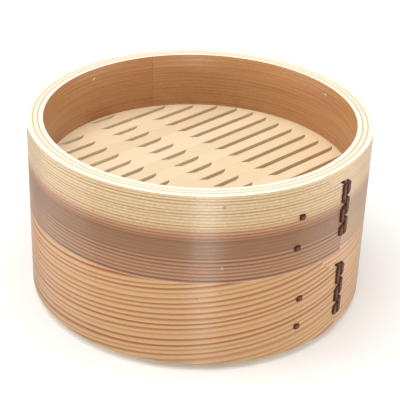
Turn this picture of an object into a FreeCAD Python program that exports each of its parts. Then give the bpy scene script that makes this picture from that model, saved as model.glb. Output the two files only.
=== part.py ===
"""Round two-tier steamer basket, one wooden tier standing on another.

Each tier is three laminated hoops with a slatted rack under the inner one, and a foot
ring that drops into the mouth of the tier below.  +Z is up and the origin is the centre
of the lower foot ring's bottom face.  Azimuths run from the front (-Y) towards +X.
"""
import FreeCAD, Part
import math
import os
import Sketcher

doc = FreeCAD.newDocument("steamer")

# ---------------------------------------------------------------- driving dimensions, mm
DRIVING = [
    ("tier_diameter", 210, "outside of the hoops"),
    ("tier_height", 55, "outer hoop, edge to edge"),
    ("band_thickness", 3.4, "outer hoop"),
    ("middle_thickness", 3.5, "middle hoop"),
    ("inner_thickness", 3.0, "inner hoop"),
    ("edge_bevel", 0.5, "broken edge of the outer hoop"),
    ("seam_gap", 0.2, "butt seam of the middle and inner hoops"),
    ("inner_seam_azimuth", 200.6, "seam of the inner hoop"),
    ("middle_seam_azimuth", 98, "seam of the middle hoop"),
    ("rack_level", 18, "rack top above the lower edge of the hoops"),
    ("rack_thickness", 6, "slats"),
    ("rack_clearance", 0.3, "slat ends to the middle hoop"),
    ("rack_edge_gap", 1.1, "outermost slat edge to the inner hoop's face"),
    ("rack_turn", 45, "slats' direction from +X"),
    ("slot_depth", 3.4, "notch in a slat's edge"),
    ("slot_taper", 4.6, "sloping end of a notch"),
    ("slot_hook_radius", 8.9, "rounded end of a notch"),
    ("slot_end_land", 8.5, "longest slot's end to the inner hoop's face"),
    ("slot_side_land", 0.4, "other slots' ends to the inner hoop's face"),
    ("rod_offset", 18.2, "rack rods from the rack's centre"),
    ("rod_radius", 1.5, "rack rods"),
    ("rod_clearance", 0.05, "rod to its holes"),
    ("rod_land", 6.9, "uncut slat each side of a rod"),
    ("foot_drop", 5, "foot ring below the hoops"),
    ("foot_thickness", 3.2, "foot ring"),
    ("nest_clearance", 0.5, "foot ring to the mouth below"),
    ("tail_step", 0.8, "surface step at the outer hoop's lapped end"),
    ("tail_fairing", 30, "degrees over which the step dies out"),
    ("tail_corner_drop", 9.5, "cut corner of the lapped end"),
    ("tail_corner_sweep", 8, "degrees that the cut corner takes off"),
    ("bark_thickness", 0.7, "lacing strip"),
    ("stitch_width", 5, "lacing strip"),
    ("stitch_gap", 0.5, "between stitches in a column"),
    ("stitch_stagger", 2.2, "shift of each column's stitch ends"),
    ("lacing_top_land", 9.4, "lacing to the upper edge"),
    ("lacing_bottom_land", 9.0, "lacing to the lower edge"),
    ("tack_azimuth", 19.7, "tacks ahead of the lapped end"),
    ("tack_size", 4, "visible side of a bark tack"),
    ("tack_top_land", 20, "upper tack's centre to the upper edge"),
    ("tack_bottom_land", 15.4, "lower tack's centre to the lower edge"),
    ("peg_radius", 1.1, "bamboo pegs"),
    ("peg_clearance", 0.02, "peg to its hole"),
    ("rim_peg_drop", 6.9, "rim pegs below the upper edge"),
    ("base_peg_drop", 2.3, "base pegs below the rack"),
    ("lower_tail_azimuth", 54.2, "lapped end, lower tier"),
    ("upper_tail_azimuth", 53.1, "lapped end, upper tier"),
]
SLAT_COUNT = 16
JOINED_SLAT = 15
STITCH_ROWS = 3
PEG_AZIMUTHS = (8.0, 122.2, 228.4)

sizes = doc.addObject("Spreadsheet::Sheet", "sizes")
for row, (alias, value, meaning) in enumerate(DRIVING, start=1):
    sizes.set(f"A{row}", meaning)
    sizes.set(f"B{row}", str(value))
    sizes.setAlias(f"B{row}", alias)
doc.recompute()


def cell(alias):
    """The expression that reads one driving dimension."""
    return f"sizes.{alias}"


def value_of(expression):
    """The number that an expression gives now."""
    result = sizes.evalExpression(str(expression))
    return float(getattr(result, "Value", result))


# ------------------------------------------------------- radii and levels within one tier
outer_radius = f"({cell('tier_diameter')} / 2)"
band_inside = f"({outer_radius} - {cell('band_thickness')})"
middle_inside = f"({band_inside} - {cell('middle_thickness')})"
mouth_radius = f"({middle_inside} - {cell('inner_thickness')})"
foot_outside = f"({mouth_radius} - {cell('nest_clearance')})"
foot_inside = f"({foot_outside} - {cell('foot_thickness')})"
rack_radius = f"({middle_inside} - {cell('rack_clearance')})"
rack_half = f"({mouth_radius} - {cell('rack_edge_gap')})"
rack_bottom = f"({cell('rack_level')} - {cell('rack_thickness')})"
rim_peg_level = f"({cell('tier_height')} - {cell('rim_peg_drop')})"
base_peg_level = f"({rack_bottom} - {cell('base_peg_drop')})"

TIER_BASES = {
    "lower": cell("foot_drop"),
    "upper": f"{cell('foot_drop')} + {cell('tier_height')}",
}
pieces = []


# --------------------------------------------------------------- how a piece is built up
def new_body(label, tier, turn="0"):
    """A body at its tier's height, turned about Z; all its sketches use tier levels."""
    body = doc.addObject("PartDesign::Body", f"{tier}_{label}")
    body.Label = f"{tier}_{label}"
    body.AllowCompound = True
    body.Placement = FreeCAD.Placement(
        FreeCAD.Vector(0, 0, 0), FreeCAD.Rotation(FreeCAD.Vector(0, 0, 1), value_of(turn)))
    body.setExpression("Placement.Base.z", TIER_BASES[tier])
    pieces.append(body)
    return body


def plane_of(body, role):
    for feature in body.Origin.OriginFeatures:
        if feature.Role == role:
            return feature
    raise ValueError(f"{body.Label} has no {role}")


def new_sketch(body, role, azimuth="0", lift="0"):
    """A sketch on an origin plane.

    On XZ_Plane it is turned about Z, so that its normal points out at the azimuth;
    on XY_Plane it is lifted.
    """
    sketch = body.newObject("Sketcher::SketchObject", f"{body.Name}_sketch")
    sketch.AttachmentSupport = [(plane_of(body, role), "")]
    sketch.MapMode = "FlatFace"
    turn = FreeCAD.Rotation(FreeCAD.Vector(0, 1, 0), value_of(azimuth))
    sketch.AttachmentOffset = FreeCAD.Placement(FreeCAD.Vector(0, 0, 0), turn)
    if role == "XY_Plane":
        sketch.setExpression("AttachmentOffset.Base.z", lift)
    elif value_of(azimuth) != 0:
        sketch.setExpression("AttachmentOffset.Rotation.Angle", azimuth)
    return sketch


def arc_middle(start, end, radius):
    """Middle of a short arc from start to end; a positive radius bulges to the right."""
    chord = end - start
    across = FreeCAD.Vector(chord.y, -chord.x, 0).normalize()
    reach = abs(radius) - math.sqrt(radius ** 2 - (chord.Length / 2) ** 2)
    return (start + end) * 0.5 + across * math.copysign(reach, radius)


def outline(sketch, corners):
    """A closed outline whose corners (x, y) are expressions.

    A third expression bends the edge that leaves the corner to that radius.
    """
    points = [FreeCAD.Vector(value_of(c[0]), value_of(c[1]), 0) for c in corners]
    constraints = []
    bindings = []
    first = len(sketch.Geometry)
    total = len(corners)
    ends = []
    for index, corner in enumerate(corners):
        start = points[index]
        end = points[(index + 1) % total]
        if len(corner) == 2:
            edge = Part.LineSegment(start, end)
        else:
            edge = Part.Arc(start, arc_middle(start, end, value_of(corner[2])), end)
        number = sketch.addGeometry(edge, False)
        starts_here = sketch.getPoint(number, 1).distanceToPoint(start) < 1e-6
        ends.append((1, 2) if starts_here else (2, 1))
    for index, corner in enumerate(corners):
        number = first + index
        previous = first + (index - 1) % total
        near_end, _ = ends[index]
        _, far_end = ends[(index - 1) % total]
        constraints.append(
            Sketcher.Constraint("Coincident", previous, far_end, number, near_end))
        bindings.append(None)
        for kind, axis in (("DistanceX", 0), ("DistanceY", 1)):
            constraints.append(
                Sketcher.Constraint(kind, -1, 1, number, near_end, points[index][axis]))
            bindings.append(corner[axis])
        if len(corner) == 3:
            radius = abs(value_of(corner[2]))
            constraints.append(Sketcher.Constraint("Radius", number, radius))
            bindings.append(f"abs({corner[2]})")
    before = len(sketch.Constraints)
    sketch.addConstraint(constraints)
    for offset, expression in enumerate(bindings):
        if expression is not None:
            sketch.setExpression(f"Constraints[{before + offset}]", expression)


def rectangle(sketch, low_x, high_x, low_y, high_y):
    outline(sketch, [(low_x, low_y), (high_x, low_y), (high_x, high_y), (low_x, high_y)])


def circle(sketch, x, y, radius):
    centre = FreeCAD.Vector(value_of(x), value_of(y), 0)
    number = sketch.addGeometry(
        Part.Circle(centre, FreeCAD.Vector(0, 0, 1), value_of(radius)), False)
    before = len(sketch.Constraints)
    sketch.addConstraint([
        Sketcher.Constraint("DistanceX", -1, 1, number, 3, centre.x),
        Sketcher.Constraint("DistanceY", -1, 1, number, 3, centre.y),
        Sketcher.Constraint("Radius", number, value_of(radius)),
    ])
    for offset, expression in enumerate((x, y, radius)):
        sketch.setExpression(f"Constraints[{before + offset}]", expression)


def spin(body, sketch, sweep="360", cut=False):
    """Turns a radius-and-level profile about the tier's axis, from the sketch onwards."""
    kind = "PartDesign::Groove" if cut else "PartDesign::Revolution"
    feature = body.newObject(kind, f"{body.Name}_spin")
    feature.Profile = sketch
    feature.ReferenceAxis = (sketch, ["V_Axis"])
    feature.setExpression("Angle", sweep)
    feature.Reversed = False
    return feature


def pad(body, sketch, length, both_ways=False):
    feature = body.newObject("PartDesign::Pad", f"{body.Name}_pad")
    feature.Profile = sketch
    feature.setExpression("Length", length)
    feature.Midplane = both_ways
    return feature


def pocket(body, sketch, length, outward=False, both_ways=False):
    feature = body.newObject("PartDesign::Pocket", f"{body.Name}_pocket")
    feature.Profile = sketch
    feature.setExpression("Length", length)
    feature.Reversed = outward
    feature.Midplane = both_ways
    return feature


def start_of(azimuth):
    """Where a profile on XZ_Plane starts, so that its +X side points at the azimuth."""
    return f"({azimuth} - 90)"


def width_as_angle(width, radius=outer_radius):
    return f"({width} / {radius} * 180 / pi)"


# ------------------------------------------------------------------ hoops and foot ring
def cut_peg_holes(body, levels):
    """Round holes through the wall for the pegs, one set at each peg azimuth."""
    hole_radius = f"{cell('peg_radius')} + {cell('peg_clearance')}"
    for azimuth in PEG_AZIMUTHS:
        sketch = new_sketch(body, "XZ_Plane", azimuth=str(azimuth))
        for level in levels:
            circle(sketch, "0", level, hole_radius)
        pocket(body, sketch, f"{outer_radius} + 1", outward=True)


def cut_seam(body, azimuth, outside):
    """The narrow upright gap where a hoop's two ends meet."""
    half = width_as_angle(f"{cell('seam_gap')} / 2")
    sketch = new_sketch(body, "XZ_Plane", azimuth=start_of(f"{azimuth} - {half}"))
    low = f"-{cell('foot_drop')} - 1"
    high = f"{cell('tier_height')} + 1"
    rectangle(sketch, f"{foot_inside} - 1", f"{outside} + 1", low, high)
    spin(body, sketch, sweep=f"2 * {half}", cut=True)


def plain_hoop(label, tier, inside, outside, low, high):
    body = new_body(label, tier)
    sketch = new_sketch(body, "XZ_Plane")
    rectangle(sketch, inside, outside, low, high)
    spin(body, sketch)
    return body


def staple_slits(body, staples):
    """Slits in the outer hoop for the legs of bark staples (azimuth, width, levels)."""
    for azimuth, width, spans in staples:
        sketch = new_sketch(body, "XZ_Plane", azimuth=start_of(azimuth))
        leg = cell("bark_thickness")
        for low, high in spans:
            outside = f"{outer_radius} + 1"
            inside = f"{band_inside} - 1"
            rectangle(sketch, inside, outside, low, f"{low} + {leg}")
            rectangle(sketch, inside, outside, f"{high} - {leg}", high)
        spin(body, sketch, sweep=width_as_angle(width), cut=True)


def staple_bars(body, staples):
    """Bark staples: a flat strip outside the hoop with a leg through it at each end."""
    for azimuth, width, spans in staples:
        sketch = new_sketch(body, "XZ_Plane", azimuth=start_of(azimuth))
        leg = cell("bark_thickness")
        proud = f"{outer_radius} + {leg}"
        for low, high in spans:
            outline(sketch, [
                (band_inside, low),
                (proud, low),
                (proud, high),
                (band_inside, high),
                (band_inside, f"{high} - {leg}"),
                (outer_radius, f"{high} - {leg}"),
                (outer_radius, f"{low} + {leg}"),
                (band_inside, f"{low} + {leg}"),
            ])
        spin(body, sketch, sweep=width_as_angle(width))


def outer_band(tier, tail, staples):
    """Outer hoop: one long strip lapped over its own end and sewn there.

    Its outer face steps in past the lapped end and fairs out again, and the end's
    upper corner is cut away.
    """
    body = new_body("outer_band", tier)
    sketch = new_sketch(body, "XZ_Plane")
    bevel = cell("edge_bevel")
    top = cell("tier_height")
    outline(sketch, [
        (band_inside, "0"),
        (f"{outer_radius} - {bevel}", "0"),
        (outer_radius, bevel),
        (outer_radius, f"{top} - {bevel}"),
        (f"{outer_radius} - {bevel}", top),
        (band_inside, top),
    ])
    spin(body, sketch)

    fair_end = f"({tail} + {cell('tail_fairing')})"
    stepped = f"({outer_radius} - {cell('tail_step')})"
    clear = f"({outer_radius} + 6)"
    faired_radius = f"({outer_radius} - {cell('tail_step')} / (1 - cos({cell('tail_fairing')})))"
    step = new_sketch(body, "XY_Plane", lift="-1")
    outline(step, [
        (f"{stepped} * sin({tail})", f"-{stepped} * cos({tail})", faired_radius),
        (f"{outer_radius} * sin({fair_end})", f"-{outer_radius} * cos({fair_end})"),
        (f"{clear} * sin({fair_end})", f"-{clear} * cos({fair_end})"),
        (f"{clear} * sin({tail})", f"-{clear} * cos({tail})"),
    ])
    pocket(body, step, f"{top} + 2", outward=True)

    corner = new_sketch(
        body, "XZ_Plane", azimuth=start_of(f"({tail} - {cell('tail_corner_sweep')})"))
    rectangle(
        corner, stepped, f"{outer_radius} + 1",
        f"{top} - {cell('tail_corner_drop')}", f"{top} + 1")
    spin(body, corner, sweep=cell("tail_corner_sweep"), cut=True)

    staple_slits(body, staples)
    cut_peg_holes(body, [rim_peg_level, base_peg_level])
    return body


# ---------------------------------------------------------------- bark lacing and tacks
def lacing_staples(tail):
    """Two columns of stitches, one each side of the lapped end, with staggered ends."""
    top = f"({cell('tier_height')} - {cell('lacing_top_land')})"
    bottom = cell("lacing_bottom_land")
    row = f"(({top} - {bottom}) / {STITCH_ROWS})"
    half_gap = f"{cell('stitch_gap')} / 2"
    columns = []
    for side, sign in ((f"({tail} - {width_as_angle(cell('stitch_width'))})", "-"), (tail, "+")):
        spans = []
        for number in range(STITCH_ROWS):
            low = bottom
            high = top
            if number > 0:
                low = f"({bottom} + {number} * {row} {sign} {cell('stitch_stagger')} + {half_gap})"
            if number < STITCH_ROWS - 1:
                high = f"({bottom} + {number + 1} * {row} {sign} {cell('stitch_stagger')} - {half_gap})"
            spans.append((low, high))
        columns.append((side, cell("stitch_width"), spans))
    return columns


def tack_staples(tail):
    """Two small square bark tacks that hold the lap's hidden inner end."""
    half = f"{cell('tack_size')} / 2"
    azimuth = f"({tail} - {cell('tack_azimuth')} - {width_as_angle(half)})"
    upper = f"{cell('tier_height')} - {cell('tack_top_land')}"
    lower = cell("tack_bottom_land")
    spans = [(f"({level} - {half})", f"({level} + {half})") for level in (lower, upper)]
    return [(azimuth, cell("tack_size"), spans)]


# ------------------------------------------------------------------------ rack and rods
def half_chord(radius, offset):
    return f"sqrt(({radius})^2 - ({offset})^2)"


def slat_slots(edge, joined):
    """Start and end of each notch along a slat edge at this distance from the centre.

    A joined slat's middle notch runs on, over the back rod, into the one beyond it.
    """
    near = f"({cell('rod_offset')} - {cell('rod_land')})"
    far = f"({cell('rod_offset')} + {cell('rod_land')})"
    wall = half_chord(mouth_radius, edge)
    reach = f"min({mouth_radius} - {cell('slot_end_land')}; {wall} - {cell('slot_side_land')})"
    ends = value_of(cell("slot_taper")) + value_of(cell("slot_hook_radius"))
    if joined:
        return [(f"-{near}", reach), (f"-{reach}", f"-{far}")]
    slots = []
    if value_of(reach) - value_of(far) > ends:
        slots.append((far, reach))
    if value_of(near) < value_of(reach) and 2 * value_of(near) > ends:
        slots.append((f"-{near}", near))
    if value_of(reach) - value_of(far) > ends:
        slots.append((f"-{reach}", f"-{far}"))
    return slots


def slat(tier, number):
    """One slat: a bamboo strip whose ends follow the hoop, notched along one edge."""
    width = f"(2 * {rack_half} / {SLAT_COUNT})"
    low = f"(-{rack_half} + {number - 1} * {width})"
    high = f"(-{rack_half} + {number} * {width})"
    body = new_body(f"slat_{number:02d}", tier, turn=cell("rack_turn"))
    sketch = new_sketch(body, "XY_Plane", lift=rack_bottom)
    floor = f"({high} - {cell('slot_depth')})"
    hook_radius = cell("slot_hook_radius")
    hook = f"sqrt(({hook_radius})^2 - ({hook_radius} - {cell('slot_depth')})^2)"
    corners = [
        (f"-{half_chord(rack_radius, low)}", low),
        (half_chord(rack_radius, low), low, rack_radius),
        (half_chord(rack_radius, high), high),
    ]
    for start, end in slat_slots(high, number == JOINED_SLAT):
        corners.append((end, high, f"-{hook_radius}"))
        corners.append((f"{end} - {hook}", floor))
        corners.append((f"{start} + {cell('slot_taper')}", floor))
        corners.append((start, high))
    corners.append((f"-{half_chord(rack_radius, high)}", high, rack_radius))
    outline(sketch, corners)
    pad(body, sketch, cell("rack_thickness"))

    holes = new_sketch(body, "XZ_Plane")
    for sign in ("-", ""):
        circle(
            holes, f"{sign}{cell('rod_offset')}", f"{cell('rack_level')} - {cell('rack_thickness')} / 2",
            f"{cell('rod_radius')} + {cell('rod_clearance')}")
    pocket(body, holes, f"2 * {rack_radius} + 2", both_ways=True)


def rack_rod(tier, label, sign):
    """A bamboo rod that threads all the slats together."""
    body = new_body(label, tier, turn=cell("rack_turn"))
    sketch = new_sketch(body, "XZ_Plane")
    level = f"{cell('rack_level')} - {cell('rack_thickness')} / 2"
    circle(sketch, f"{sign}{cell('rod_offset')}", level, cell("rod_radius"))
    pad(body, sketch, f"2 * {rack_half}", both_ways=True)


# --------------------------------------------------------------------------------- pegs
def peg_group(tier, label, level, inside):
    """Bamboo pegs driven through the hoops from outside, one at each peg azimuth."""
    group = doc.addObject("Part::Compound", f"{tier}_{label}")
    group.Label = f"{tier}_{label}"
    pegs = []
    for azimuth in PEG_AZIMUTHS:
        peg = doc.addObject("Part::Cylinder", f"{tier}_{label}_peg")
        direction = math.radians(azimuth)
        tip = FreeCAD.Vector(math.cos(direction), math.sin(direction), 0)
        peg.Placement = FreeCAD.Placement(FreeCAD.Vector(0, 0, 0), FreeCAD.Rotation(tip, 90))
        peg.setExpression("Radius", cell("peg_radius"))
        peg.setExpression("Height", f"{outer_radius} - {inside}")
        peg.setExpression("Placement.Base.x", f"{inside} * sin({azimuth})")
        peg.setExpression("Placement.Base.y", f"-{inside} * cos({azimuth})")
        peg.setExpression("Placement.Base.z", f"{TIER_BASES[tier]} + {level}")
        pegs.append(peg)
    group.Links = pegs
    pieces.append(group)


# -------------------------------------------------------------------------- whole tiers
for tier in TIER_BASES:
    tail = cell(f"{tier}_tail_azimuth")
    lacing = lacing_staples(tail)
    tacks = tack_staples(tail)
    outer_band(tier, tail, lacing + tacks)

    middle = plain_hoop("middle_ring", tier, middle_inside, band_inside, "0", cell("tier_height"))
    cut_seam(middle, cell("middle_seam_azimuth"), band_inside)
    cut_peg_holes(middle, [rim_peg_level, base_peg_level])

    inner = plain_hoop(
        "inner_ring", tier, mouth_radius, middle_inside, cell("rack_level"), cell("tier_height"))
    cut_seam(inner, cell("inner_seam_azimuth"), middle_inside)
    cut_peg_holes(inner, [rim_peg_level])

    support = plain_hoop("support_ring", tier, foot_outside, middle_inside, "0", rack_bottom)
    cut_peg_holes(support, [base_peg_level])

    foot = plain_hoop(
        "foot_ring", tier, foot_inside, foot_outside, f"-{cell('foot_drop')}", rack_bottom)
    cut_peg_holes(foot, [base_peg_level])

    for number in range(1, SLAT_COUNT + 1):
        slat(tier, number)
    rack_rod(tier, "rack_rod_front", "-")
    rack_rod(tier, "rack_rod_back", "")

    staple_bars(new_body("band_lacing", tier), lacing)
    staple_bars(new_body("band_tacks", tier), tacks)
    peg_group(tier, "rim_pegs", rim_peg_level, mouth_radius)
    peg_group(tier, "base_pegs", base_peg_level, foot_inside)

doc.recompute()

# --------------------------------------------------------------------- check and export
for item in doc.Objects:
    if "Invalid" in item.State or "Error" in item.State:
        raise RuntimeError(f"{item.Name} failed: {item.State}")

os.makedirs("parts", exist_ok=True)
for piece in pieces:
    if piece.Shape.isNull() or not piece.Shape.isValid():
        raise RuntimeError(f"{piece.Label} has no valid shape")
    piece.Shape.exportStep(f"parts/{piece.Label}.step")
print(f"{len(pieces)} pieces written")
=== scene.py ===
import math

import bpy
from mathutils import Matrix, Vector


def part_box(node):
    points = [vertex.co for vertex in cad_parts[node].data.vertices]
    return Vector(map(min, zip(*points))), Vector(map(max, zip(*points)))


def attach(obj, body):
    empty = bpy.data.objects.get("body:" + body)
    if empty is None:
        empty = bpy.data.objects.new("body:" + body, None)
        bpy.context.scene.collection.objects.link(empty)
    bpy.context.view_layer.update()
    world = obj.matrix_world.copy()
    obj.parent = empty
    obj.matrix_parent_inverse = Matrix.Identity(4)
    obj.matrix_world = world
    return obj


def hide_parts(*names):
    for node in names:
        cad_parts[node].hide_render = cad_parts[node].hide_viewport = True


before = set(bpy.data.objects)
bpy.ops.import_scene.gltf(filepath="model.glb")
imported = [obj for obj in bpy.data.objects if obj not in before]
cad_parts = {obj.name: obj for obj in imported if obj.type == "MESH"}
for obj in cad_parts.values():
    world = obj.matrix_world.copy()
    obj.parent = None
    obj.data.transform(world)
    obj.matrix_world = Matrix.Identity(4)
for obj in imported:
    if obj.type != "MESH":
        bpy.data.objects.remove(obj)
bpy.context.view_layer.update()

# Studio.  A pale table, a large soft light above, one at each side, a low one in front
# that draws the upright sheen on the planed wood, and a viewpoint in front and above.


def colour(red, green, blue):
    """A colour picked in everyday 0 to 255 values, as the linear one that shaders use."""
    shares = [c / 255 for c in (red, green, blue)]
    linear = [((c + 0.055) / 1.055) ** 2.4 if c > 0.04 else c / 12.92 for c in shares]
    return (*linear, 1.0)


def add(tree, kind, inputs, **settings):
    """A shader node with its settings and inputs (numbers, colours or other sockets)."""
    made = tree.nodes.new(kind)
    for name, value in settings.items():
        setattr(made, name, value)
    for key, value in inputs.items():
        socket = made.inputs[key]
        if isinstance(value, bpy.types.NodeSocket):
            tree.links.new(value, socket)
        else:
            socket.default_value = value
    return made.outputs


def ramp_of(tree, fraction, stops):
    """Colours by position; stops are (position, colour) in order."""
    made = tree.nodes.new("ShaderNodeValToRGB")
    tree.links.new(fraction, made.inputs[0])
    elements = made.color_ramp.elements
    while len(elements) < len(stops):
        elements.new(0.5)
    for element, (position, shade) in zip(elements, stops):
        element.position = position
        element.color = shade
    return made.outputs[0]


def new_material(name, roughness, specular=0.4):
    """A new material, with its node tree and its shader."""
    material = bpy.data.materials.new(name)
    material.use_nodes = True
    shader = material.node_tree.nodes["Principled BSDF"]
    shader.inputs["Roughness"].default_value = roughness
    shader.inputs["Specular IOR Level"].default_value = specular
    return material, material.node_tree, shader


def soft_light(name, place, aim, size, power, tint):
    """A rectangular lamp at a place, turned towards the point that it aims at."""
    lamp = bpy.data.lights.new(name, "AREA")
    lamp.shape = "RECTANGLE"
    lamp.size, lamp.size_y = size
    lamp.energy = power
    lamp.color = tint
    holder = bpy.data.objects.new(name, lamp)
    holder.location = place
    holder.rotation_euler = (Vector(aim) - Vector(place)).to_track_quat("-Z", "Y").to_euler()
    bpy.context.collection.objects.link(holder)


VIEW_PLACE = (0, -0.64976, 0.41423)
VIEW_PITCH = 0.5052
VIEW_YAW = 0.0023
VIEW_ROLL = 0.0357
VIEW_ANGLE = math.radians(19.357)
camera = bpy.data.objects.new("camera", bpy.data.cameras.new("camera"))
camera.data.sensor_width = 36
camera.data.angle = VIEW_ANGLE
camera.matrix_world = (
    Matrix.Translation(VIEW_PLACE)
    @ Matrix.Rotation(-VIEW_YAW, 4, "Z")
    @ Matrix.Rotation(math.pi / 2 - VIEW_PITCH, 4, "X")
    @ Matrix.Rotation(VIEW_ROLL, 4, "Z"))
bpy.context.collection.objects.link(camera)
bpy.context.scene.camera = camera

bpy.context.scene.view_settings.view_transform = "Standard"
WARM = (1, 0.99, 0.97)
NEUTRAL = (1, 1, 1)
world = bpy.data.worlds.new("studio")
world.use_nodes = True
world.node_tree.nodes["Background"].inputs["Color"].default_value = (*WARM, 1)
world.node_tree.nodes["Background"].inputs["Strength"].default_value = 0.62
bpy.context.scene.world = world
AIM = (0, 0, 0.06)
SIDE_LAMP = (1.2, 0.9)
soft_light("overhead", (-0.4, -0.4, 2.6), (0, 0, 0.05), (2.6, 2.6), 48, WARM)
soft_light("left", (-1.5, 0.0, 0.32), AIM, SIDE_LAMP, 12, NEUTRAL)
soft_light("right", (1.5, 0.0, 0.32), AIM, SIDE_LAMP, 10, NEUTRAL)
soft_light("front", (0.2, -1.9, 0.12), AIM, (0.42, 0.3), 14, WARM)

bpy.ops.object.select_all(action="DESELECT")
bpy.ops.mesh.primitive_plane_add(size=8, location=(0, 0, 0))
table = bpy.context.object
table.name = "table"
table_finish, tree, shader = new_material("pale_table", 0.6)
table_grain = add(tree, "ShaderNodeTexNoise", {"Scale": 40.0})[0]
table_tone = ramp_of(tree, table_grain, [(0.3, colour(246, 246, 245)), (0.7, colour(249, 249, 248))])
tree.links.new(table_tone, shader.inputs["Base Color"])
table.data.materials.append(table_finish)


# Middle hoop of each tier.  A thin cedar board bent round and butted end to end, glued
# between the outer and inner hoops; only its edges show, as the rim's middle layer.
mm = 0.001
TIERS = ("lower", "upper")
MIDDLE_SEAM = 98
SEAM_GAP = 0.12 * mm
RIM_SOFTENING = 0.3 * mm
HOOP_STEPS = 240
GRAIN_RADIUS = 100 * mm
LIT_EDGE_UPRIGHT = 0.6


def hoop_size(node):
    """Inner radius, outer radius, lowest and highest level of a round CAD piece."""
    points = [v.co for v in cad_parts[node].data.vertices]
    spans = [p.xy.length for p in points]
    levels = [p.z for p in points]
    return min(spans), max(spans), min(levels), max(levels)


def in_edit(action, **settings):
    """One edit-mode operator on everything that is selected in the active piece."""
    bpy.ops.object.mode_set(mode="EDIT")
    action(**settings)
    bpy.ops.object.mode_set(mode="OBJECT")


def apply_modifier(piece, kind, **settings):
    """Adds a modifier with its settings to a piece and applies it at once."""
    bpy.context.view_layer.objects.active = piece
    made = piece.modifiers.new(kind.lower(), kind)
    for name, value in settings.items():
        setattr(made, name, value)
    bpy.ops.object.modifier_apply(modifier=made.name)


def finish_piece(piece, body, nodes, material, smooth=35):
    """Settles a piece: smooth shading, finish, the CAD nodes it stands for, its body."""
    bpy.ops.object.select_all(action="DESELECT")
    piece.select_set(True)
    bpy.context.view_layer.objects.active = piece
    bpy.ops.object.transform_apply(location=True, rotation=True, scale=True)
    bpy.ops.object.shade_smooth_by_angle(angle=math.radians(smooth))
    piece.data.materials.clear()
    piece.data.materials.append(material)
    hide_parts(*nodes)
    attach(piece, body)


def face_out(piece):
    """Merges doubled points and turns every face outwards."""
    bpy.ops.object.mode_set(mode="EDIT")
    bpy.ops.mesh.select_all(action="SELECT")
    bpy.ops.mesh.remove_doubles(threshold=1e-6)
    bpy.ops.mesh.normals_make_consistent(inside=False)
    bpy.ops.object.mode_set(mode="OBJECT")


def bent_hoop(name, node, seam):
    """A butt-jointed hoop: its section, spun from one side of the seam to the other."""
    inside, outside, low, high = hoop_size(node)
    bpy.ops.object.select_all(action="DESELECT")
    bpy.ops.mesh.primitive_plane_add(size=1, rotation=(math.pi / 2, 0, 0))
    hoop = bpy.context.object
    hoop.name = name
    hoop.scale = (outside - inside, high - low, 1)
    hoop.location = ((inside + outside) / 2, 0, (low + high) / 2)
    bpy.ops.object.transform_apply(location=True, rotation=True, scale=True)
    in_edit(bpy.ops.mesh.bevel, offset=RIM_SOFTENING, segments=2, affect="VERTICES")
    opening = SEAM_GAP / outside
    in_edit(
        bpy.ops.mesh.spin, steps=HOOP_STEPS, angle=2 * math.pi - opening,
        center=(0, 0, 0), axis=(0, 0, 1), use_auto_merge=False)
    face_out(hoop)
    start = math.radians(seam - 90) + opening / 2
    hoop.data.transform(Matrix.Rotation(start, 4, "Z"))
    return hoop


def math_of(tree, operation, first, second=0.0, third=0.0):
    """One sum on numbers or sockets."""
    return add(tree, "ShaderNodeMath", {0: first, 1: second, 2: third}, operation=operation)[0]


def mix_of(tree, factor, first, second):
    """The first colour where the factor is 0, the second where it is 1."""
    return add(tree, "ShaderNodeMix", {0: factor, 6: first, 7: second}, data_type="RGBA")[2]


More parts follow.
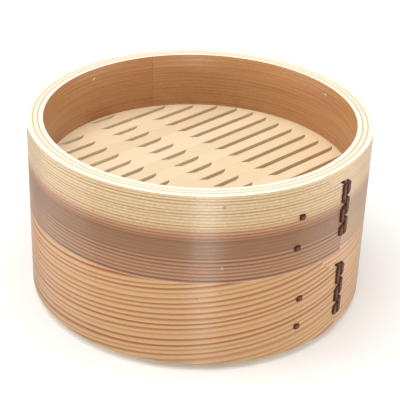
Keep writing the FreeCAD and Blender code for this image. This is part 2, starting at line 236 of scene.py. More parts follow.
def growth_lines():
    """Growth rings as they show on a flat-sawn board: dark lines of uneven strength.

    Along and Height are a point's place on the flat board, in metres.  Each line darkens
    slowly and ends sharply, Wander bends the lines, and Fibre is the fine grain.
    """
    wander_scale = (5.0, 110.0)
    fibre_scale = (420.0, 1300.0)
    darkens = (0.15, 0.72)
    clears = (1.0, 0.8)
    faintest = 0.55
    group = bpy.data.node_groups.new("growth_lines", "ShaderNodeTree")
    for name in ("Along", "Height", "Pitch", "Wander"):
        group.interface.new_socket(name, in_out="INPUT", socket_type="NodeSocketFloat")
    for name in ("Line", "Fibre"):
        group.interface.new_socket(name, in_out="OUTPUT", socket_type="NodeSocketFloat")
    taken = group.nodes.new("NodeGroupInput").outputs
    given = group.nodes.new("NodeGroupOutput").inputs
    stretched = add(group, "ShaderNodeCombineXYZ", {
        0: math_of(group, "MULTIPLY", taken["Along"], wander_scale[0]),
        1: math_of(group, "MULTIPLY", taken["Height"], wander_scale[1])})[0]
    drift = add(group, "ShaderNodeTexNoise", {"Vector": stretched, "Scale": 1.0, "Detail": 1.0})[0]
    moved = math_of(
        group, "MULTIPLY_ADD", math_of(group, "SUBTRACT", drift, 0.5), taken["Wander"], taken["Height"])
    ring = math_of(group, "DIVIDE", moved, taken["Pitch"])
    number = math_of(group, "FLOOR", ring)
    part = math_of(group, "SUBTRACT", ring, number)
    strength = add(group, "ShaderNodeTexWhiteNoise", {"W": number}, noise_dimensions="1D")[0]
    rise, fall = (
        add(group, "ShaderNodeMapRange", {
            "Value": part, "From Min": start, "From Max": end}, interpolation_type="SMOOTHSTEP")[0]
        for start, end in (darkens, clears))
    line = math_of(group, "MULTIPLY", rise, fall)
    uneven = math_of(group, "MULTIPLY_ADD", strength, 1 - faintest, faintest)
    fine = add(group, "ShaderNodeCombineXYZ", {
        0: math_of(group, "MULTIPLY", taken["Along"], fibre_scale[0]),
        1: math_of(group, "MULTIPLY", taken["Height"], fibre_scale[1])})[0]
    grain = add(group, "ShaderNodeTexNoise", {"Vector": fine, "Scale": 1.0, "Detail": 3.0})[0]
    fibre = add(group, "ShaderNodeMapRange", {"Value": grain, "From Min": 0.35, "From Max": 0.65})[0]
    group.links.new(math_of(group, "MULTIPLY", line, uneven), given["Line"])
    group.links.new(fibre, given["Fibre"])
    return group


GROWTH = growth_lines()


def grain_of(tree, along, height, pitch, wander):
    """Growth lines and fibre of one board, with its own pitch and wander in metres."""
    made = tree.nodes.new("ShaderNodeGroup")
    made.node_tree = GROWTH
    for name, value in (("Along", along), ("Height", height), ("Pitch", pitch), ("Wander", wander)):
        if isinstance(value, bpy.types.NodeSocket):
            tree.links.new(value, made.inputs[name])
        else:
            made.inputs[name].default_value = value
    return made.outputs["Line"], made.outputs["Fibre"]


def round_the_hoop(tree):
    """A point's distance round the hoop, and its place in the object."""
    place = add(tree, "ShaderNodeTexCoord", {})["Object"]
    x, y, z = add(tree, "ShaderNodeSeparateXYZ", {0: place})
    turn = math_of(tree, "ARCTAN2", y, x)
    return math_of(tree, "MULTIPLY", turn, GRAIN_RADIUS), x, y, z


def length_of(tree, first, second):
    """The length of a flat vector, from its two parts."""
    return math_of(tree, "SQRT", math_of(
        tree, "ADD", math_of(tree, "MULTIPLY", first, first),
        math_of(tree, "MULTIPLY", second, second)))


def edges_painted_lit(tree, side, edge):
    """One colour on the faces of a board and another on its upper and lower edges and bevels; the paler
    edge colour is painted light, a painted highlight along the rim and the tier joint.
    """
    normal = add(tree, "ShaderNodeNewGeometry", {})["Normal"]
    upright = add(tree, "ShaderNodeSeparateXYZ", {0: normal})[2]
    # Faces turned up or down take the edge colour: painted light on the rim's top and on its bevels.
    lit_edge_mask = math_of(tree, "GREATER_THAN", math_of(tree, "ABSOLUTE", upright), LIT_EDGE_UPRIGHT)
    return mix_of(tree, lit_edge_mask, side, edge)


def edge_wood():
    """Middle board: brown faces; edges painted pale for the light on the rim, darkening to tan at each
    glue line, partly the glue and partly painted shade in the groove.
    """
    material, tree, shader = new_material("hoop_edge_wood", 0.5)
    along, x, y, z = round_the_hoop(tree)
    line, _ = grain_of(tree, along, z, pitch=2.9 * mm, wander=4 * mm)
    faces = mix_of(tree, line, colour(206, 164, 120), colour(176, 122, 84))
    inside, outside = hoop_size("upper_middle_ring")[:2]
    across = add(tree, "ShaderNodeMapRange", {
        "Value": length_of(tree, x, y), "From Min": inside, "From Max": outside})[0]
    # Painted light and shade on the rim: pale in the middle of the edge, tan towards each joint, where
    # the glue line shows and the groove's shade is painted in.
    edges = ramp_of(tree, across, [
        (0.0, colour(226, 182, 128)), (0.34, colour(248, 230, 202)), (0.5, colour(251, 243, 228)),
        (0.66, colour(248, 230, 202)), (1.0, colour(226, 182, 128))])
    tree.links.new(edges_painted_lit(tree, faces, edges), shader.inputs["Base Color"])
    return material


EDGE_WOOD = edge_wood()
for tier in TIERS:
    middle = bent_hoop(f"{tier}_middle_hoop", f"{tier}_middle_ring", MIDDLE_SEAM)
    finish_piece(middle, f"{tier}_tier", [f"{tier}_middle_ring"], EDGE_WOOD)


# Outer hoop of each tier.  One cedar board, longer than the way round, bent so that its
# tapered end laps over its own start; the lap's upper corner is cut away in a curve.
# The lap, its scarfs and its corner are in degrees round the hoop, back from the end.
LAP = 24
SCARF = 4
FAIRING = 30
LAP_STEP = 0.8 * mm
LAP_CLEARANCE = 0.08 * mm
THINNEST = 0.12 * mm
TAIL = {"lower": 54.2, "upper": 53.1}
CORNER_START = {"lower": 11.1, "upper": 11.5}
CORNER_END = {"lower": 3.3, "upper": 4.6}
CORNER_DROP = {"lower": 10.4 * mm, "upper": 9.5 * mm}
CORNER_CURVE = 1.78
CORNER_LEAD = 0.15
CORNER_COLUMNS = 20
CUTTER_MARGIN = 4 * mm
BAND_SOFTENING = 0.4 * mm
SOFTENED_ANGLE = math.radians(40)
BOARD_COLUMNS = 288
PALE_FROM = 580 * mm
PALE_BEYOND = 640 * mm
RELIEF = 0.4 * mm
FIBRE_RELIEF = 0.3
KNOT = (98 * mm, 49.8 * mm)
KNOT_RADIUS = 0.9 * mm
CLIMB_LENGTH = 260 * mm
CLIMB_HEIGHT = 23.4 * mm
BAND_RADIUS = {tier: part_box(f"{tier}_outer_band")[1].x for tier in TIERS}


def smooth_step(fraction):
    """Rises from 0 to 1 with a gentle start and end."""
    clipped = min(1.0, max(0.0, fraction))
    return clipped * clipped * (3 - 2 * clipped)


def flat_board(name, length, thickness, low, high):
    """A straight board along X that ends at X 0, with its face at Y 0."""
    bpy.ops.object.select_all(action="DESELECT")
    bpy.ops.mesh.primitive_grid_add(
        x_subdivisions=BOARD_COLUMNS, y_subdivisions=1, size=1, rotation=(-math.pi / 2, 0, 0))
    board = bpy.context.object
    board.name = name
    board.scale = (length, high - low, 1)
    board.location = (-length / 2, 0, (low + high) / 2)
    bpy.ops.object.transform_apply(location=True, rotation=True, scale=True)
    in_edit(
        bpy.ops.mesh.extrude_region_move, TRANSFORM_OT_translate={"value": (0, -thickness, 0)})
    face_out(board)
    return board


def cut_corner(board, start, end, drop, high):
    """Takes the upper corner off a flat board's end, in a curve that runs out level.

    The cut falls from start to end, in metres back from the board's end.  The cutter
    begins a little before it, above the board, and its last column lies past the end.
    """
    bpy.ops.object.select_all(action="DESELECT")
    bpy.ops.mesh.primitive_grid_add(
        x_subdivisions=CORNER_COLUMNS, y_subdivisions=1, size=1, rotation=(-math.pi / 2, 0, 0))
    cutter = bpy.context.object
    bpy.ops.object.transform_apply(location=False, rotation=True, scale=False)
    last = 1 - 1 / CORNER_COLUMNS
    for point in cutter.data.vertices:
        share = (point.co.x + 0.5) / last
        if share > 1.01:
            point.co.x, fall = CUTTER_MARGIN, 1
        else:
            left = (1 + CORNER_LEAD) * (1 - share)
            fall = 1 - math.copysign(abs(left) ** CORNER_CURVE, left)
            point.co.x = -end - left * (start - end)
        point.co.z = high + CUTTER_MARGIN if point.co.z > 0 else high - drop * fall
        point.co.y = 2 * CUTTER_MARGIN
    in_edit(
        bpy.ops.mesh.extrude_region_move,
        TRANSFORM_OT_translate={"value": (0, -4 * CUTTER_MARGIN, 0)})
    face_out(cutter)
    bpy.ops.object.select_all(action="DESELECT")
    apply_modifier(board, "BOOLEAN", operation="DIFFERENCE", object=cutter, solver="EXACT")
    bpy.data.objects.remove(cutter)


def wrap_board(board, tail, radius, thickness, length):
    """Bends a flat board round, scarfing both ends so that one laps over the other."""
    degree = math.radians(1) * radius
    layout = board.data.uv_layers.new(name="board")
    for loop in board.data.loops:
        flat = board.data.vertices[loop.vertex_index].co
        layout.data[loop.index].uv = (-flat.x, flat.z)
    for point in board.data.vertices:
        from_end = -point.co.x / degree
        from_start = (length + point.co.x) / degree
        step = LAP_STEP * (1 - smooth_step((from_start - LAP) / FAIRING))
        if from_start < SCARF:
            step = thickness - (thickness - LAP_STEP) * from_start / SCARF
        depth = thickness
        if from_end < LAP:
            cut = (thickness - LAP_STEP) * max(0, from_end - LAP + SCARF) / SCARF
            depth = min(thickness, LAP_STEP - LAP_CLEARANCE + cut)
        share = -point.co.y / thickness
        span = radius - step - share * (max(depth, step + THINNEST) - step)
        turn = math.radians(tail - 90) + point.co.x / radius
        point.co.x = span * math.cos(turn)
        point.co.y = span * math.sin(turn)
    face_out(board)


def board_places(tree):
    """Distance back from the lapped end, and height, on the board as it lay flat."""
    flat = add(tree, "ShaderNodeUVMap", {}, uv_map="board")[0]
    along, height, _ = add(tree, "ShaderNodeSeparateXYZ", {0: flat})
    return along, height


def level_of(tree, height, low, high):
    """Height as a share of the board's width: 0 at its lower edge, 1 at its upper."""
    return add(tree, "ShaderNodeMapRange", {
        "Value": height, "From Min": low, "From Max": high})[0]


def add_relief(tree, shader, line, fibre, depth):
    """Growth lines stand a little proud of the soft wood, over a fine sanded fibre."""
    heights = math_of(tree, "MULTIPLY_ADD", fibre, FIBRE_RELIEF, line)
    bump = add(tree, "ShaderNodeBump", {"Strength": 0.4, "Distance": depth, "Height": heights})[0]
    tree.links.new(bump, shader.inputs["Normal"])


def satin(shader, gloss):
    """Planed softwood: its level fibres spread a highlight up and down."""
    shader.inputs["Roughness"].default_value = 0.37
    shader.inputs["Anisotropic"].default_value = 1.0
    shader.inputs["Anisotropic Rotation"].default_value = 0.25
    shader.inputs["Specular IOR Level"].default_value = gloss


def grey(value):
    """A colour stop that stands for a plain number."""
    return (value, value, value, 1.0)


def spot_of(tree, along, height, centre, radius):
    """A round spot on the flat board: 1 inside, 0 outside, soft at its edge."""
    aside = math_of(tree, "SUBTRACT", along, centre[0])
    above = math_of(tree, "SUBTRACT", height, centre[1])
    return add(tree, "ShaderNodeMapRange", {
        "Value": length_of(tree, aside, above), "From Min": radius, "From Max": radius * 0.6})[0]


def towards_start(tree, along, shade, pale):
    """Pales the board a little from its far side to its start under the lap."""
    start = add(tree, "ShaderNodeMapRange", {
        "Value": along, "From Min": PALE_FROM, "From Max": PALE_BEYOND})[0]
    return mix_of(tree, math_of(tree, "MULTIPLY", start, 0.3), shade, pale)


def upper_band_wood(low, high):
    """Cream sapwood above, a broad brown heartwood stripe, reddish lines below."""
    material, tree, shader = new_material("upper_band_wood", 0.5)
    along, height = board_places(tree)
    level = level_of(tree, height, low, high)
    wide, fibre = grain_of(tree, along, height, pitch=2.4 * mm, wander=2 * mm)
    narrow, _ = grain_of(tree, along, height, pitch=1.9 * mm, wander=2 * mm)
    upper_part = math_of(tree, "GREATER_THAN", level, 0.47)
    line = add(tree, "ShaderNodeMix", {0: upper_part, 2: wide, 3: narrow}, data_type="FLOAT")[0]
    body = ramp_of(tree, level, [
        (0.0, colour(164, 116, 76)), (0.27, colour(158, 110, 70)), (0.31, colour(128, 87, 49)),
        (0.48, colour(123, 83, 45)), (0.52, colour(152, 99, 58)), (0.58, colour(174, 131, 90)),
        (0.65, colour(194, 172, 132)), (1.0, colour(200, 182, 144))])
    lines = ramp_of(tree, level, [
        (0.0, colour(50, 12, 2)), (0.28, colour(46, 12, 2)), (0.34, colour(80, 40, 16)),
        (0.46, colour(80, 40, 16)), (0.5, colour(84, 30, 10)), (0.57, colour(104, 46, 18)),
        (0.62, colour(158, 102, 48)), (0.85, colour(158, 104, 40)), (1.0, colour(164, 112, 48))])
    amount = ramp_of(tree, level, [
        (0.0, grey(1.0)), (0.28, grey(1.0)), (0.32, grey(0.3)), (0.46, grey(0.35)),
        (0.5, grey(1.0)), (1.0, grey(1.0))])
    sharp = math_of(tree, "MULTIPLY", math_of(tree, "POWER", line, 1.2), amount)
    lined = mix_of(tree, sharp, body, lines)
    flecked = mix_of(tree, math_of(tree, "MULTIPLY", fibre, 0.3), lined, colour(116, 76, 44))
    shade = towards_start(tree, along, flecked, colour(206, 178, 144))
    # The pale edge colour is painted light: a painted highlight on the rim and the bevels.
    tree.links.new(edges_painted_lit(tree, shade, colour(246, 238, 222)), shader.inputs["Base Color"])
    add_relief(tree, shader, line, fibre, RELIEF)
    satin(shader, 0.85)
    return material


def lower_band_wood():
    """Salmon-coloured wood whose growth lines climb towards the lapped end."""
    material, tree, shader = new_material("lower_band_wood", 0.5)
    along, height = board_places(tree)
    near_end = math_of(tree, "SUBTRACT", 1.0, math_of(tree, "DIVIDE", along, CLIMB_LENGTH))
    curve = math_of(tree, "POWER", math_of(tree, "MAXIMUM", near_end, 0.0), 2.0)
    climb = math_of(tree, "MULTIPLY", curve, CLIMB_HEIGHT)
    leaning = math_of(tree, "SUBTRACT", height, climb)
    line, fibre = grain_of(tree, along, leaning, pitch=3.5 * mm, wander=5 * mm)
    sharp = math_of(tree, "POWER", line, 1.4)
    lined = mix_of(tree, sharp, colour(183, 147, 104), colour(134, 66, 24))
    flecked = mix_of(tree, math_of(tree, "MULTIPLY", fibre, 0.16), lined, colour(140, 88, 50))
    paler = towards_start(tree, along, flecked, colour(206, 168, 136))
    knot = spot_of(tree, along, height, KNOT, KNOT_RADIUS)
    shade = mix_of(tree, knot, paler, colour(112, 102, 96))
    # The pale edge colour is painted light: a painted highlight on the rim and the bevels.
    tree.links.new(edges_painted_lit(tree, shade, colour(246, 236, 218)), shader.inputs["Base Color"])
    add_relief(tree, shader, line, fibre, RELIEF)
    satin(shader, 0.5)
    return material


for tier in TIERS:
    inside, _, low, high = hoop_size(f"{tier}_outer_band")
    degree = math.radians(1) * BAND_RADIUS[tier]
    thickness = BAND_RADIUS[tier] - inside
    length = (360 + LAP) * degree
    board = flat_board(f"{tier}_outer_hoop", length, thickness, low, high)
    cut_corner(
        board, CORNER_START[tier] * degree, CORNER_END[tier] * degree, CORNER_DROP[tier], high)
    apply_modifier(
        board, "BEVEL", width=BAND_SOFTENING, segments=2,
        limit_method="ANGLE", angle_limit=SOFTENED_ANGLE)
    wrap_board(board, TAIL[tier], BAND_RADIUS[tier], thickness, length)
    wood = upper_band_wood(low, high) if tier == "upper" else lower_band_wood()
    finish_piece(board, f"{tier}_tier", [f"{tier}_outer_band"], wood)


# Bark lacing of each tier.  Strips of cherry bark sewn through slits in the outer hoop,
# two columns of three stitches that close the lap; each end dives into its slit.
LEFT_WIDTH = 4.4 * mm
RIGHT_WIDTH = 4.9 * mm
STRIP_THICKNESS = 0.7 * mm
LACING_TOP = {"lower": 45.0 * mm, "upper": 45.7 * mm}
LACING_BOTTOM = {"lower": 8.3 * mm, "upper": 9.2 * mm}
LEFT_JOINTS = (15.1 * mm, 27.6 * mm)
RIGHT_JOINTS = (10.2 * mm, 23.2 * mm)
LEFT_LEAN = -1.5 * mm
RIGHT_LEAN = 2.3 * mm
RIGHT_SAG = 0.4 * mm
COLUMN_GAP = 0.15 * mm
TONGUE_REACH = 1.2 * mm
TONGUE_TUCK = 1.5 * mm
TONGUE_LEVELS = (-1.0 * mm, 0.9 * mm)
TONGUE_LEAN = 0.55 * mm
TONGUE_RISE = -1.0 * mm
LACING_SHIFT = math.radians(0.3)
STRIP_PROUD = 1.0 * mm
STRIP_CROWN = 0.5 * mm
DIVE_DEPTH = 1.9 * mm
DIVE_LENGTH = 0.8 * mm
END_NARROWING = 0.7 * mm
END_LENGTH = 1.6 * mm
RAGGEDNESS = 0.12 * mm
RAGGED_WAVE = 0.7 * mm
LEAN_FROM = 0.3
STRIP_COLUMNS = 12
STRIP_ROWS = 30


def bark_strip(name, left, right, low, high, lean, rise=0.0, sag=0.0):
    """A strip of bark lying on a flat board, with slanted ends that dive into the wood.

    lean shortens both ends towards the strip's right edge, or its left if negative;
    rise lifts the right end of a level strip; sag sinks the strip's right edge.
    """
    bpy.ops.object.select_all(action="DESELECT")
    bpy.ops.mesh.primitive_grid_add(
        x_subdivisions=STRIP_COLUMNS, y_subdivisions=STRIP_ROWS, size=1,
        rotation=(-math.pi / 2, 0, 0))
    strip = bpy.context.object
    strip.name = name
    strip.scale = (right - left, high - low, 1)
    strip.location = ((left + right) / 2, 0, (low + high) / 2)
    bpy.ops.object.transform_apply(location=True, rotation=True, scale=True)
    layout = strip.data.uv_layers.new(name="strip")
    for loop in strip.data.loops:
        flat = strip.data.vertices[loop.vertex_index].co
        layout.data[loop.index].uv = (
            (flat.x - left) / (right - left), (flat.z - low) / (high - low))
    for point in strip.data.vertices:
        across = (2 * point.co.x - left - right) / (right - left)
        up = (2 * point.co.z - low - high) / (high - low)
        from_end = (1 - abs(up)) * (high - low) / 2
        dive = 1 - smooth_step(from_end / DIVE_LENGTH)
        ragged = RAGGEDNESS * math.sin(point.co.z / RAGGED_WAVE + 2 * across)
        narrow = END_NARROWING * (1 - smooth_step(from_end / END_LENGTH)) + ragged
        lean_side = (1 + across) / 2 if lean > 0 else (1 - across) / 2
        shorten = abs(lean) * lean_side ** 2 * max(0, abs(up) - LEAN_FROM) / (1 - LEAN_FROM)
        point.co.z += rise * (1 + across) / 2 - math.copysign(shorten, up)
        point.co.x -= across * narrow
        edge_drop = STRIP_CROWN * abs(across) ** 3
        point.co.y = STRIP_PROUD - edge_drop - DIVE_DEPTH * dive - sag * (1 + across) / 2
    apply_modifier(strip, "SOLIDIFY", thickness=STRIP_THICKNESS, offset=-1)
    face_out(strip)
    return strip


def wrap_strip(strip, tier):
    """Bends a flat strip round the outer hoop; its X 0 comes to the lapped end."""
    radius = BAND_RADIUS[tier]
    for point in strip.data.vertices:
        span = radius + point.co.y
        turn = math.radians(TAIL[tier] - 90) + point.co.x / radius
        point.co.x = span * math.cos(turn)
        point.co.y = span * math.sin(turn)
    face_out(strip)


def join_pieces(parts, name):
    """Makes one piece of several, under a new name."""
    bpy.ops.object.select_all(action="DESELECT")
    for part in parts:
        part.select_set(True)
    bpy.context.view_layer.objects.active = parts[0]
    if len(parts) > 1:
        bpy.ops.object.join()
    parts[0].name = name
    return parts[0]


def bark():
    """Cherry bark: a mottled dark brown, redder along its edges, with a painted sheen paler in the
    middle.
    """
    material, tree, shader = new_material("cherry_bark", 0.5, specular=0.1)
    flat = add(tree, "ShaderNodeUVMap", {}, uv_map="strip")[0]
    across, along, _ = add(tree, "ShaderNodeSeparateXYZ", {0: flat})
    place = add(tree, "ShaderNodeTexCoord", {})["Object"]
    mottle = add(tree, "ShaderNodeTexNoise", {"Vector": place, "Scale": 420.0, "Detail": 4.0})[0]
    offset = math_of(tree, "ABSOLUTE", math_of(tree, "SUBTRACT", across, 0.5))
    edge = add(tree, "ShaderNodeMapRange", {"Value": offset, "From Min": 0.26, "From Max": 0.5})[0]
    dark = ramp_of(tree, mottle, [(0.35, colour(40, 19, 13)), (0.65, colour(92, 58, 44))])
    rim = mix_of(tree, math_of(tree, "MULTIPLY", edge, 0.75), dark, colour(58, 18, 9))
    end = math_of(tree, "ABSOLUTE", math_of(tree, "SUBTRACT", along, 0.5))
    middle, centre = (
        add(tree, "ShaderNodeMapRange", {"Value": value, "From Min": clear, "From Max": full})[0]
        for value, clear, full in ((offset, 0.3, 0.08), (end, 0.36, 0.12)))
    # Painted sheen: the strip's middle, away from its edges and ends, is mixed towards a paler colour.
    painted_sheen = math_of(tree, "MULTIPLY", middle, centre)
    shade = mix_of(tree, math_of(tree, "MULTIPLY", painted_sheen, 0.5), rim, colour(134, 88, 66))
    tree.links.new(shade, shader.inputs["Base Color"])
    bump = add(tree, "ShaderNodeBump", {"Strength": 0.3, "Distance": 0.3 * mm, "Height": mottle})[0]
    tree.links.new(bump, shader.inputs["Normal"])
    return material


BARK = bark()
for tier in TIERS:
    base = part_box(f"{tier}_outer_band")[0].z
    low, high = base + LACING_BOTTOM[tier], base + LACING_TOP[tier]
    shift = LACING_SHIFT * BAND_RADIUS[tier]
    stitches = []
    for left, width, joints, lean, sag in (
            (shift - LEFT_WIDTH, LEFT_WIDTH, LEFT_JOINTS, LEFT_LEAN, 0),
            (shift + COLUMN_GAP, RIGHT_WIDTH, RIGHT_JOINTS, RIGHT_LEAN, RIGHT_SAG)):
        levels = [high, *(high - joint for joint in joints), low]
        for top, bottom in zip(levels, levels[1:]):
            stitches.append(bark_strip(
                f"{tier}_stitch", left, left + width, bottom, top, lean, sag=sag))
    stitches.append(bark_strip(
        f"{tier}_tongue", shift - LEFT_WIDTH - TONGUE_REACH, shift + TONGUE_TUCK,
        high + TONGUE_LEVELS[0], high + TONGUE_LEVELS[1], TONGUE_LEAN, rise=TONGUE_RISE))
    lacing = join_pieces(stitches, f"{tier}_lacing")
    wrap_strip(lacing, tier)
    finish_piece(lacing, f"{tier}_tier", [f"{tier}_band_lacing"], BARK)


# Bark tacks of each tier.  Two short strips of the same bark, each tucked into a pair of
# slits, that pin the hidden inner end of the lap.
# Each tack's place is its azimuth in degrees and its level in millimetres.
TACK_WIDTH = 4.2 * mm
TACK_HEIGHT = 4.5 * mm
TACK_LEAN = 0.2 * mm
TACKS = {"lower": ((35.0, 35.1), (34.8, 15.8)), "upper": ((33.6, 34.8), (32.6, 15.1))}
for tier in TIERS:
    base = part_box(f"{tier}_outer_band")[0].z
    tacks = []
    for azimuth, level in TACKS[tier]:
        middle = math.radians(azimuth - TAIL[tier]) * BAND_RADIUS[tier]
        centre = base + level * mm
        tacks.append(bark_strip(
            f"{tier}_tack", middle - TACK_WIDTH / 2, middle + TACK_WIDTH / 2,
            centre - TACK_HEIGHT / 2, centre + TACK_HEIGHT / 2, TACK_LEAN))
    both = join_pieces(tacks, f"{tier}_tacks")
    wrap_strip(both, tier)
    finish_piece(both, f"{tier}_tier", [f"{tier}_band_tacks"], BARK)


# Inner hoop of each tier.  A brown cedar board, butted at the back, that stands on the
# rack and holds it down; its upper edge is the rim's inner layer.
INNER_SEAM = 200.6


def inner_wood():
    """Warm brown heartwood with level grain, a shade darker to the left of the seam."""
    material, tree, shader = new_material("inner_wood", 0.38, specular=0.7)
    along, x, y, z = round_the_hoop(tree)
    line, fibre = grain_of(tree, along, z, pitch=2.3 * mm, wander=6 * mm)
    seam_slope = math.tan(math.radians(INNER_SEAM - 180))
    aside = math_of(tree, "MULTIPLY_ADD", y, seam_slope, x)
    right_of_seam = math_of(tree, "GREATER_THAN", aside, 0.0)
    body = mix_of(tree, right_of_seam, colour(190, 136, 86), colour(198, 146, 94))
    lined = mix_of(tree, math_of(tree, "MULTIPLY", line, 0.3), body, colour(136, 84, 46))
    streaks = add(tree, "ShaderNodeCombineXYZ", {
        0: math_of(tree, "MULTIPLY", along, 14.0), 1: math_of(tree, "MULTIPLY", z, 420.0)})[0]
    cloud = add(tree, "ShaderNodeTexNoise", {"Vector": streaks, "Scale": 1.0, "Detail": 3.0})[0]
    patches = add(tree, "ShaderNodeMapRange", {
        "Value": cloud, "From Min": 0.42, "From Max": 0.72, "To Max": 0.45})[0]
    patchy = mix_of(tree, patches, lined, colour(150, 92, 50))
    fibred = mix_of(tree, math_of(tree, "MULTIPLY", fibre, 0.35), patchy, colour(148, 98, 60))
    # The pale edge colour is painted light on the rim's inner layer; the faces keep the brown wood.
    tree.links.new(edges_painted_lit(tree, fibred, colour(247, 239, 224)), shader.inputs["Base Color"])
    add_relief(tree, shader, line, fibre, RELIEF / 2)
    return material


INNER_WOOD = inner_wood()
for tier in TIERS:
    inner = bent_hoop(f"{tier}_inner_hoop", f"{tier}_inner_ring", INNER_SEAM)
    finish_piece(inner, f"{tier}_tier", [f"{tier}_inner_ring"], INNER_WOOD)


# Support and foot rings of each tier.  Two more bent strips under the rack: one carries
# the slats, the other hangs below the hoops and drops into the mouth of the tier below.
HIDDEN_SEAMS = {"support": 218, "foot": 38}
for tier in TIERS:
    for ring, seam in HIDDEN_SEAMS.items():
        hidden = bent_hoop(f"{tier}_{ring}_hoop", f"{tier}_{ring}_ring", seam)
        finish_piece(hidden, f"{tier}_tier", [f"{tier}_{ring}_ring"], INNER_WOOD)


# Rack of each tier.  Sixteen bamboo slats side by side, their ends cut to the hoop, each
# notched along its rear edge so that steam slots open between neighbours.  The first and
# the last are a little wider, tucked under the inner hoop.
SLATS = 16
ROD_OFFSET = 18.2 * mm
RACK_TURN = math.radians(45)
RACK_RADIUS = 97.8 * mm
RACK_SIDES = 360
RACK_HALF = 94.0 * mm
MOUTH_RADIUS = 95.1 * mm
SLAT_WIDTH = 2 * RACK_HALF / SLATS
NOTCH_DEPTH = 3.4 * mm
NOTCH_TAPER = 4.6 * mm
HOOK_RADIUS = 8.9 * mm
HOOK_TURN = math.acos(1 - NOTCH_DEPTH / HOOK_RADIUS)
HOOK_STEPS = 8
HOOK_OVERRUN = math.radians(5)
MIDDLE_NOTCH = 11.3 * mm
SIDE_NOTCH = 25.1 * mm
LONGEST_NOTCH_LAND = 8.5 * mm
NOTCH_LAND = 0.4 * mm
JOINED_SLAT = 15
TUCKED = 3 * mm
SLAT_SOFTENING = 0.15 * mm
PAST = 1 * mm


def notch_spans(edge, joined):
    """Where the notches start and end along a slat edge this far from the centre.

    A joined slat's middle notch runs on, over the back rod, into the one beyond it.
    """
    wall = math.sqrt(MOUTH_RADIUS ** 2 - edge ** 2)
    reach = min(MOUTH_RADIUS - LONGEST_NOTCH_LAND, wall - NOTCH_LAND)
    if joined:
        return [(-MIDDLE_NOTCH, reach), (-reach, -SIDE_NOTCH)]
    spans = [(-MIDDLE_NOTCH, MIDDLE_NOTCH)] if reach > MIDDLE_NOTCH else []
    if reach - SIDE_NOTCH > NOTCH_TAPER + HOOK_RADIUS:
        spans += [(-reach, -SIDE_NOTCH), (SIDE_NOTCH, reach)]
    return spans


def notch_cutter(start, end, edge, low, high, closed):
    """A prism with one sloping end and one rounded end; a closed one stops at the edge."""
    floor = edge - NOTCH_DEPTH
    bend = end - HOOK_RADIUS * math.sin(HOOK_TURN)
    bpy.ops.object.select_all(action="DESELECT")
    bpy.ops.mesh.primitive_plane_add(size=1)
    cutter = bpy.context.object
    lean = NOTCH_TAPER / NOTCH_DEPTH
    for corner in cutter.data.vertices:
        outer = corner.co.y > 0
        corner.co.y = edge + PAST if outer else floor
        if corner.co.x > 0:
            corner.co.x = bend
        else:
            corner.co.x = start - PAST * lean if outer else start + NOTCH_TAPER
        corner.co.z = low - PAST
    bpy.ops.object.mode_set(mode="EDIT")
    bpy.ops.mesh.select_mode(type="VERT")
    bpy.ops.mesh.select_all(action="DESELECT")
    bpy.ops.object.mode_set(mode="OBJECT")
    for corner in cutter.data.vertices:
        corner.select = corner.co.x > bend - 1e-6
    for side in cutter.data.edges:
        side.select = all(cutter.data.vertices[v].select for v in side.vertices)
    bpy.ops.object.mode_set(mode="EDIT")
    bpy.ops.mesh.spin(
        steps=HOOK_STEPS, angle=-HOOK_TURN - HOOK_OVERRUN,
        center=(bend, floor + HOOK_RADIUS, low - PAST),
        axis=(0, 0, 1), use_auto_merge=False)
    bpy.ops.mesh.select_all(action="SELECT")
    bpy.ops.mesh.remove_doubles(threshold=1e-6)
    bpy.ops.mesh.extrude_region_move(
        TRANSFORM_OT_translate={"value": (0, 0, high - low + 2 * PAST)})
    if closed:
        bpy.ops.mesh.select_all(action="SELECT")
        bpy.ops.mesh.bisect(
            plane_co=(0, edge, 0), plane_no=(0, 1, 0), use_fill=True, clear_outer=True)
    bpy.ops.object.mode_set(mode="OBJECT")
    face_out(cutter)
    return cutter


def slat_blank(name, near, far, low, high):
    """A strip between two cuts across a round board, with an edge over each rod."""
    bpy.ops.object.select_all(action="DESELECT")
    bpy.ops.mesh.primitive_cylinder_add(
        vertices=RACK_SIDES, radius=RACK_RADIUS, depth=high - low,
        location=(0, 0, (low + high) / 2))
    blank = bpy.context.object
    blank.name = name
    bpy.ops.object.transform_apply(location=True, rotation=False, scale=False)
    bpy.ops.object.mode_set(mode="EDIT")
    for level, direction in ((near, -1), (far, 1)):
        bpy.ops.mesh.select_all(action="SELECT")
        bpy.ops.mesh.bisect(
            plane_co=(0, level, 0), plane_no=(0, direction, 0), use_fill=True, clear_outer=True)
    for line in (-ROD_OFFSET, ROD_OFFSET):
        bpy.ops.mesh.select_all(action="SELECT")
        bpy.ops.mesh.bisect(plane_co=(line, 0, 0), plane_no=(1, 0, 0))
    bpy.ops.object.mode_set(mode="OBJECT")
    face_out(blank)
    return blank


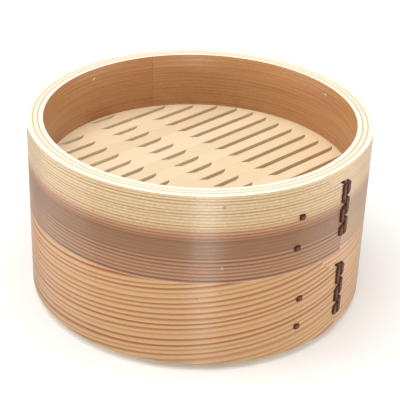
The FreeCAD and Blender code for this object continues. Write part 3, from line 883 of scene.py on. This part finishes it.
def slat_bamboo():
    """Pale bamboo: fine lengthwise fibres and a slightly different tone in every slat."""
    material, tree, shader = new_material("slat_bamboo", 0.5)
    place = add(tree, "ShaderNodeTexCoord", {})["Object"]
    turned = add(
        tree, "ShaderNodeVectorRotate", {"Vector": place, "Angle": -RACK_TURN},
        rotation_type="Z_AXIS")[0]
    lengthwise, across, z = add(tree, "ShaderNodeSeparateXYZ", {0: turned})
    number = math_of(tree, "FLOOR", math_of(tree, "DIVIDE", across, SLAT_WIDTH))
    tone = add(tree, "ShaderNodeTexWhiteNoise", {"W": number}, noise_dimensions="1D")[0]
    fibre_along, fibre_across = 40.0, 1500.0
    stretched = add(tree, "ShaderNodeCombineXYZ", {
        0: math_of(tree, "MULTIPLY", lengthwise, fibre_along),
        1: math_of(tree, "MULTIPLY", across, fibre_across),
        2: math_of(tree, "MULTIPLY", z, fibre_across)})[0]
    fibre = add(tree, "ShaderNodeTexNoise", {"Vector": stretched, "Scale": 1.0, "Detail": 3.0})[0]
    body = mix_of(tree, tone, colour(240, 218, 182), colour(248, 230, 198))
    shade = mix_of(tree, math_of(tree, "MULTIPLY", fibre, 0.35), body, colour(224, 188, 142))
    tree.links.new(shade, shader.inputs["Base Color"])
    bump = add(tree, "ShaderNodeBump", {"Strength": 0.2, "Distance": 0.2 * mm, "Height": fibre})[0]
    tree.links.new(bump, shader.inputs["Normal"])
    return material


def copy_up(piece, name, rise):
    """The same piece in the tier above, with a mesh of its own."""
    twin = piece.copy()
    twin.data = piece.data.copy()
    twin.name = name
    bpy.context.collection.objects.link(twin)
    twin.data.transform(Matrix.Translation((0, 0, rise)))
    return twin


SLAT_BAMBOO = slat_bamboo()
TIER_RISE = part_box("upper_outer_band")[0].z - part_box("lower_outer_band")[0].z
for number in range(1, SLATS + 1):
    low, high = (corner.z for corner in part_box(f"lower_slat_{number:02d}"))
    near = -RACK_HALF + (number - 1) * SLAT_WIDTH
    far = near + SLAT_WIDTH
    tucked_near = TUCKED if number == 1 else 0
    tucked_far = TUCKED if number == SLATS else 0
    blank = slat_blank(
        f"lower_bamboo_{number:02d}", near - tucked_near, far + tucked_far, low, high)
    cutters = [
        notch_cutter(start, end, far, low, high, closed=number == SLATS)
        for start, end in notch_spans(far, number == JOINED_SLAT)]
    if cutters:
        cutter = join_pieces(cutters, "notch_cutter")
        bpy.ops.object.select_all(action="DESELECT")
        apply_modifier(blank, "BOOLEAN", operation="DIFFERENCE", object=cutter, solver="EXACT")
        bpy.data.objects.remove(cutter)
    apply_modifier(
        blank, "BEVEL", width=SLAT_SOFTENING, segments=2,
        limit_method="ANGLE", angle_limit=SOFTENED_ANGLE)
    blank.data.transform(Matrix.Rotation(RACK_TURN, 4, "Z"))
    twin = copy_up(blank, f"upper_bamboo_{number:02d}", TIER_RISE)
    for tier, slat in (("lower", blank), ("upper", twin)):
        finish_piece(
            slat, f"{tier}_tier", [f"{tier}_slat_{number:02d}"], SLAT_BAMBOO,
            smooth=15)


# Rods of each rack.  Two round bamboo sticks threaded through every slat, hidden inside.
ROD_RADIUS = 1.5 * mm
STICK_SIDES = 24
EASED_END = 0.2
WEATHERED_BEYOND = 100 * mm


def peg_bamboo():
    """Cut ends of bamboo: pale with dark specks of fibre, and duller outside the hoops."""
    material, tree, shader = new_material("bamboo_peg", 0.5)
    place = add(tree, "ShaderNodeTexCoord", {})["Object"]
    speck = add(tree, "ShaderNodeTexNoise", {"Vector": place, "Scale": 2200.0, "Detail": 2.0})[0]
    fresh = ramp_of(tree, speck, [(0.35, colour(176, 150, 116)), (0.6, colour(232, 208, 170))])
    x, y, z = add(tree, "ShaderNodeSeparateXYZ", {0: place})
    outside = math_of(tree, "GREATER_THAN", length_of(tree, x, y), WEATHERED_BEYOND)
    shade = mix_of(tree, math_of(tree, "MULTIPLY", outside, 0.6), fresh, colour(104, 84, 60))
    tree.links.new(shade, shader.inputs["Base Color"])
    return material


def stick(name, radius, start, end):
    """A round stick with eased ends, from one point to another."""
    direction = end - start
    bpy.ops.object.select_all(action="DESELECT")
    bpy.ops.mesh.primitive_cylinder_add(
        vertices=STICK_SIDES, radius=radius, depth=direction.length, location=(start + end) / 2,
        rotation=direction.to_track_quat("Z", "Y").to_euler())
    made = bpy.context.object
    made.name = name
    bpy.ops.object.transform_apply(location=True, rotation=True, scale=True)
    apply_modifier(
        made, "BEVEL", width=radius * EASED_END, segments=2,
        limit_method="ANGLE", angle_limit=SOFTENED_ANGLE)
    return made


def mid_level(node):
    """The level of a CAD piece's middle."""
    low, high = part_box(node)
    return (low.z + high.z) / 2


PEG_BAMBOO = peg_bamboo()
slat_way = Vector((math.cos(RACK_TURN), math.sin(RACK_TURN), 0))
rod_way = Vector((-math.sin(RACK_TURN), math.cos(RACK_TURN), 0))
for tier in TIERS:
    for label, offset in (("front", -ROD_OFFSET), ("back", ROD_OFFSET)):
        middle = slat_way * offset + Vector((0, 0, mid_level(f"{tier}_slat_08")))
        rod = stick(
            f"{tier}_rod_{label}", ROD_RADIUS,
            middle - rod_way * RACK_HALF, middle + rod_way * RACK_HALF)
        finish_piece(rod, f"{tier}_tier", [f"{tier}_rack_rod_{label}"], PEG_BAMBOO)


# Pegs of each tier.  Bamboo pins driven through the hoops from outside: three near the
# rim that hold the inner hoop, three near the base that hold the rings under the rack.
PEG_RADIUS = 1.1 * mm
PEG_AZIMUTHS = (8.0, 122.2, 228.4)
PEG_HEAD = 105.1 * mm
PEG_PROUD = 0.05 * mm
for tier in TIERS:
    for label, last_ring in (("rim", "inner"), ("base", "foot")):
        level = Vector((0, 0, mid_level(f"{tier}_{label}_pegs")))
        inside = hoop_size(f"{tier}_{last_ring}_ring")[0] - PEG_PROUD
        pegs = []
        for azimuth in PEG_AZIMUTHS:
            out = Vector((math.sin(math.radians(azimuth)), -math.cos(math.radians(azimuth)), 0))
            pegs.append(stick(
                f"{tier}_{label}_peg", PEG_RADIUS, out * inside + level, out * PEG_HEAD + level))
        group = join_pieces(pegs, f"{tier}_{label}_pins")
        finish_piece(group, f"{tier}_tier", [f"{tier}_{label}_pegs"], PEG_BAMBOO)
